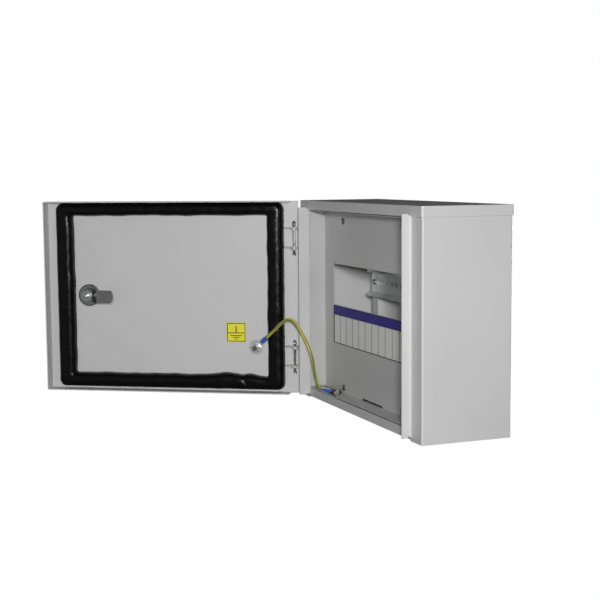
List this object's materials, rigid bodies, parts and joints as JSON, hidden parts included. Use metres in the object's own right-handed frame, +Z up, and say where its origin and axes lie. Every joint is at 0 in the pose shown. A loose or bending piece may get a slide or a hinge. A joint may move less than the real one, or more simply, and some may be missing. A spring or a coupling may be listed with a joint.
{
  "type": "subpanel enclosure",
  "caption": "Shallow wall-mounted sheet steel enclosure for a row of modular circuit breakers, with an inner panel, a mounting rail and a hinged, gasketed, lockable door with an earth lead.",
  "frame": {"origin": "centre of the four wall fixing holes, on the plane of the pads that touch the wall", "axes": "+X to the right of someone facing the enclosure, +Y into the wall, +Z up"},
  "size_m": [0.5006, 0.4033, 0.245],
  "materials": {
    "powder_grey": "fine-textured light grey powder coat",
    "panel_grey": "light grey powder coat, slightly darker",
    "zinc": "zinc plated, bright",
    "dark_steel": "zinc plated, dulled",
    "stud_brass": "brass, lightly tarnished",
    "bar_brass": "brass, drawn",
    "seal_foam": "black poured polyurethane foam, skin slightly glossy",
    "grommet_rubber": "black rubber",
    "label_print": "printed self-adhesive strip",
    "yellow_label": "printed self-adhesive square",
    "lead_pvc": "green and yellow PVC insulation",
    "blue_pvc": "blue PVC",
    "blue_insulator": "moulded blue polyamide",
    "lock_chrome": "die-cast zinc, chromium plated",
    "cam_steel": "zinc plated strip"
  },
  "bodies": {
    "body": {"body_shell": "powder_grey", "top_hood": "powder_grey", "bottom_pan": "powder_grey", "cable_grommets": "grommet_rubber", "panel_brackets": "powder_grey", "inner_panel": "panel_grey", "panel_screws": "dark_steel", "circuit_label": "label_print", "rail_uprights": "powder_grey", "din_rail": "zinc", "rail_screws": "zinc", "neutral_bar": "bar_brass", "neutral_bar_insulators": "blue_insulator", "neutral_bar_screws": "zinc", "earth_bar": "bar_brass", "earth_bar_feet": "zinc", "earth_bar_screws": "zinc", "body_hinge_brackets": "powder_grey", "upper_hinge_pin": "dark_steel", "lower_hinge_pin": "dark_steel", "body_earth_stud": "dark_steel", "body_earth_nut": "dark_steel", "body_lug": "dark_steel", "body_lug_sleeve": "blue_pvc", "earth_lead": "lead_pvc"},
    "door": {"door_panel": "powder_grey", "door_gasket": "seal_foam", "door_hinge_brackets": "powder_grey", "earth_label": "yellow_label", "door_earth_stud": "stud_brass", "door_earth_washer": "zinc", "door_earth_nut": "zinc", "door_lug": "zinc", "door_lug_sleeve": "blue_pvc", "lock_body": "lock_chrome", "lock_nut": "dark_steel"},
    "lock": {"lock_plug": "lock_chrome", "lock_cam": "cam_steel", "cam_screw": "zinc"}
  },
  "joints": [
    {"name": "door_hinge", "type": "hinge", "parent": "body", "child": "door", "pos_m": [-0.16, -0.12, 0], "axis": [0, 0, 1], "range_deg": [0, 121], "deforming": ["door_gasket", "earth_lead"]},
    {"name": "lock_turn", "type": "hinge", "parent": "door", "child": "lock", "pos_m": [-0.30479, -0.34776, 0.0015], "axis": [0.8572, -0.515, 0], "range_deg": [0, 180]}
  ]
}
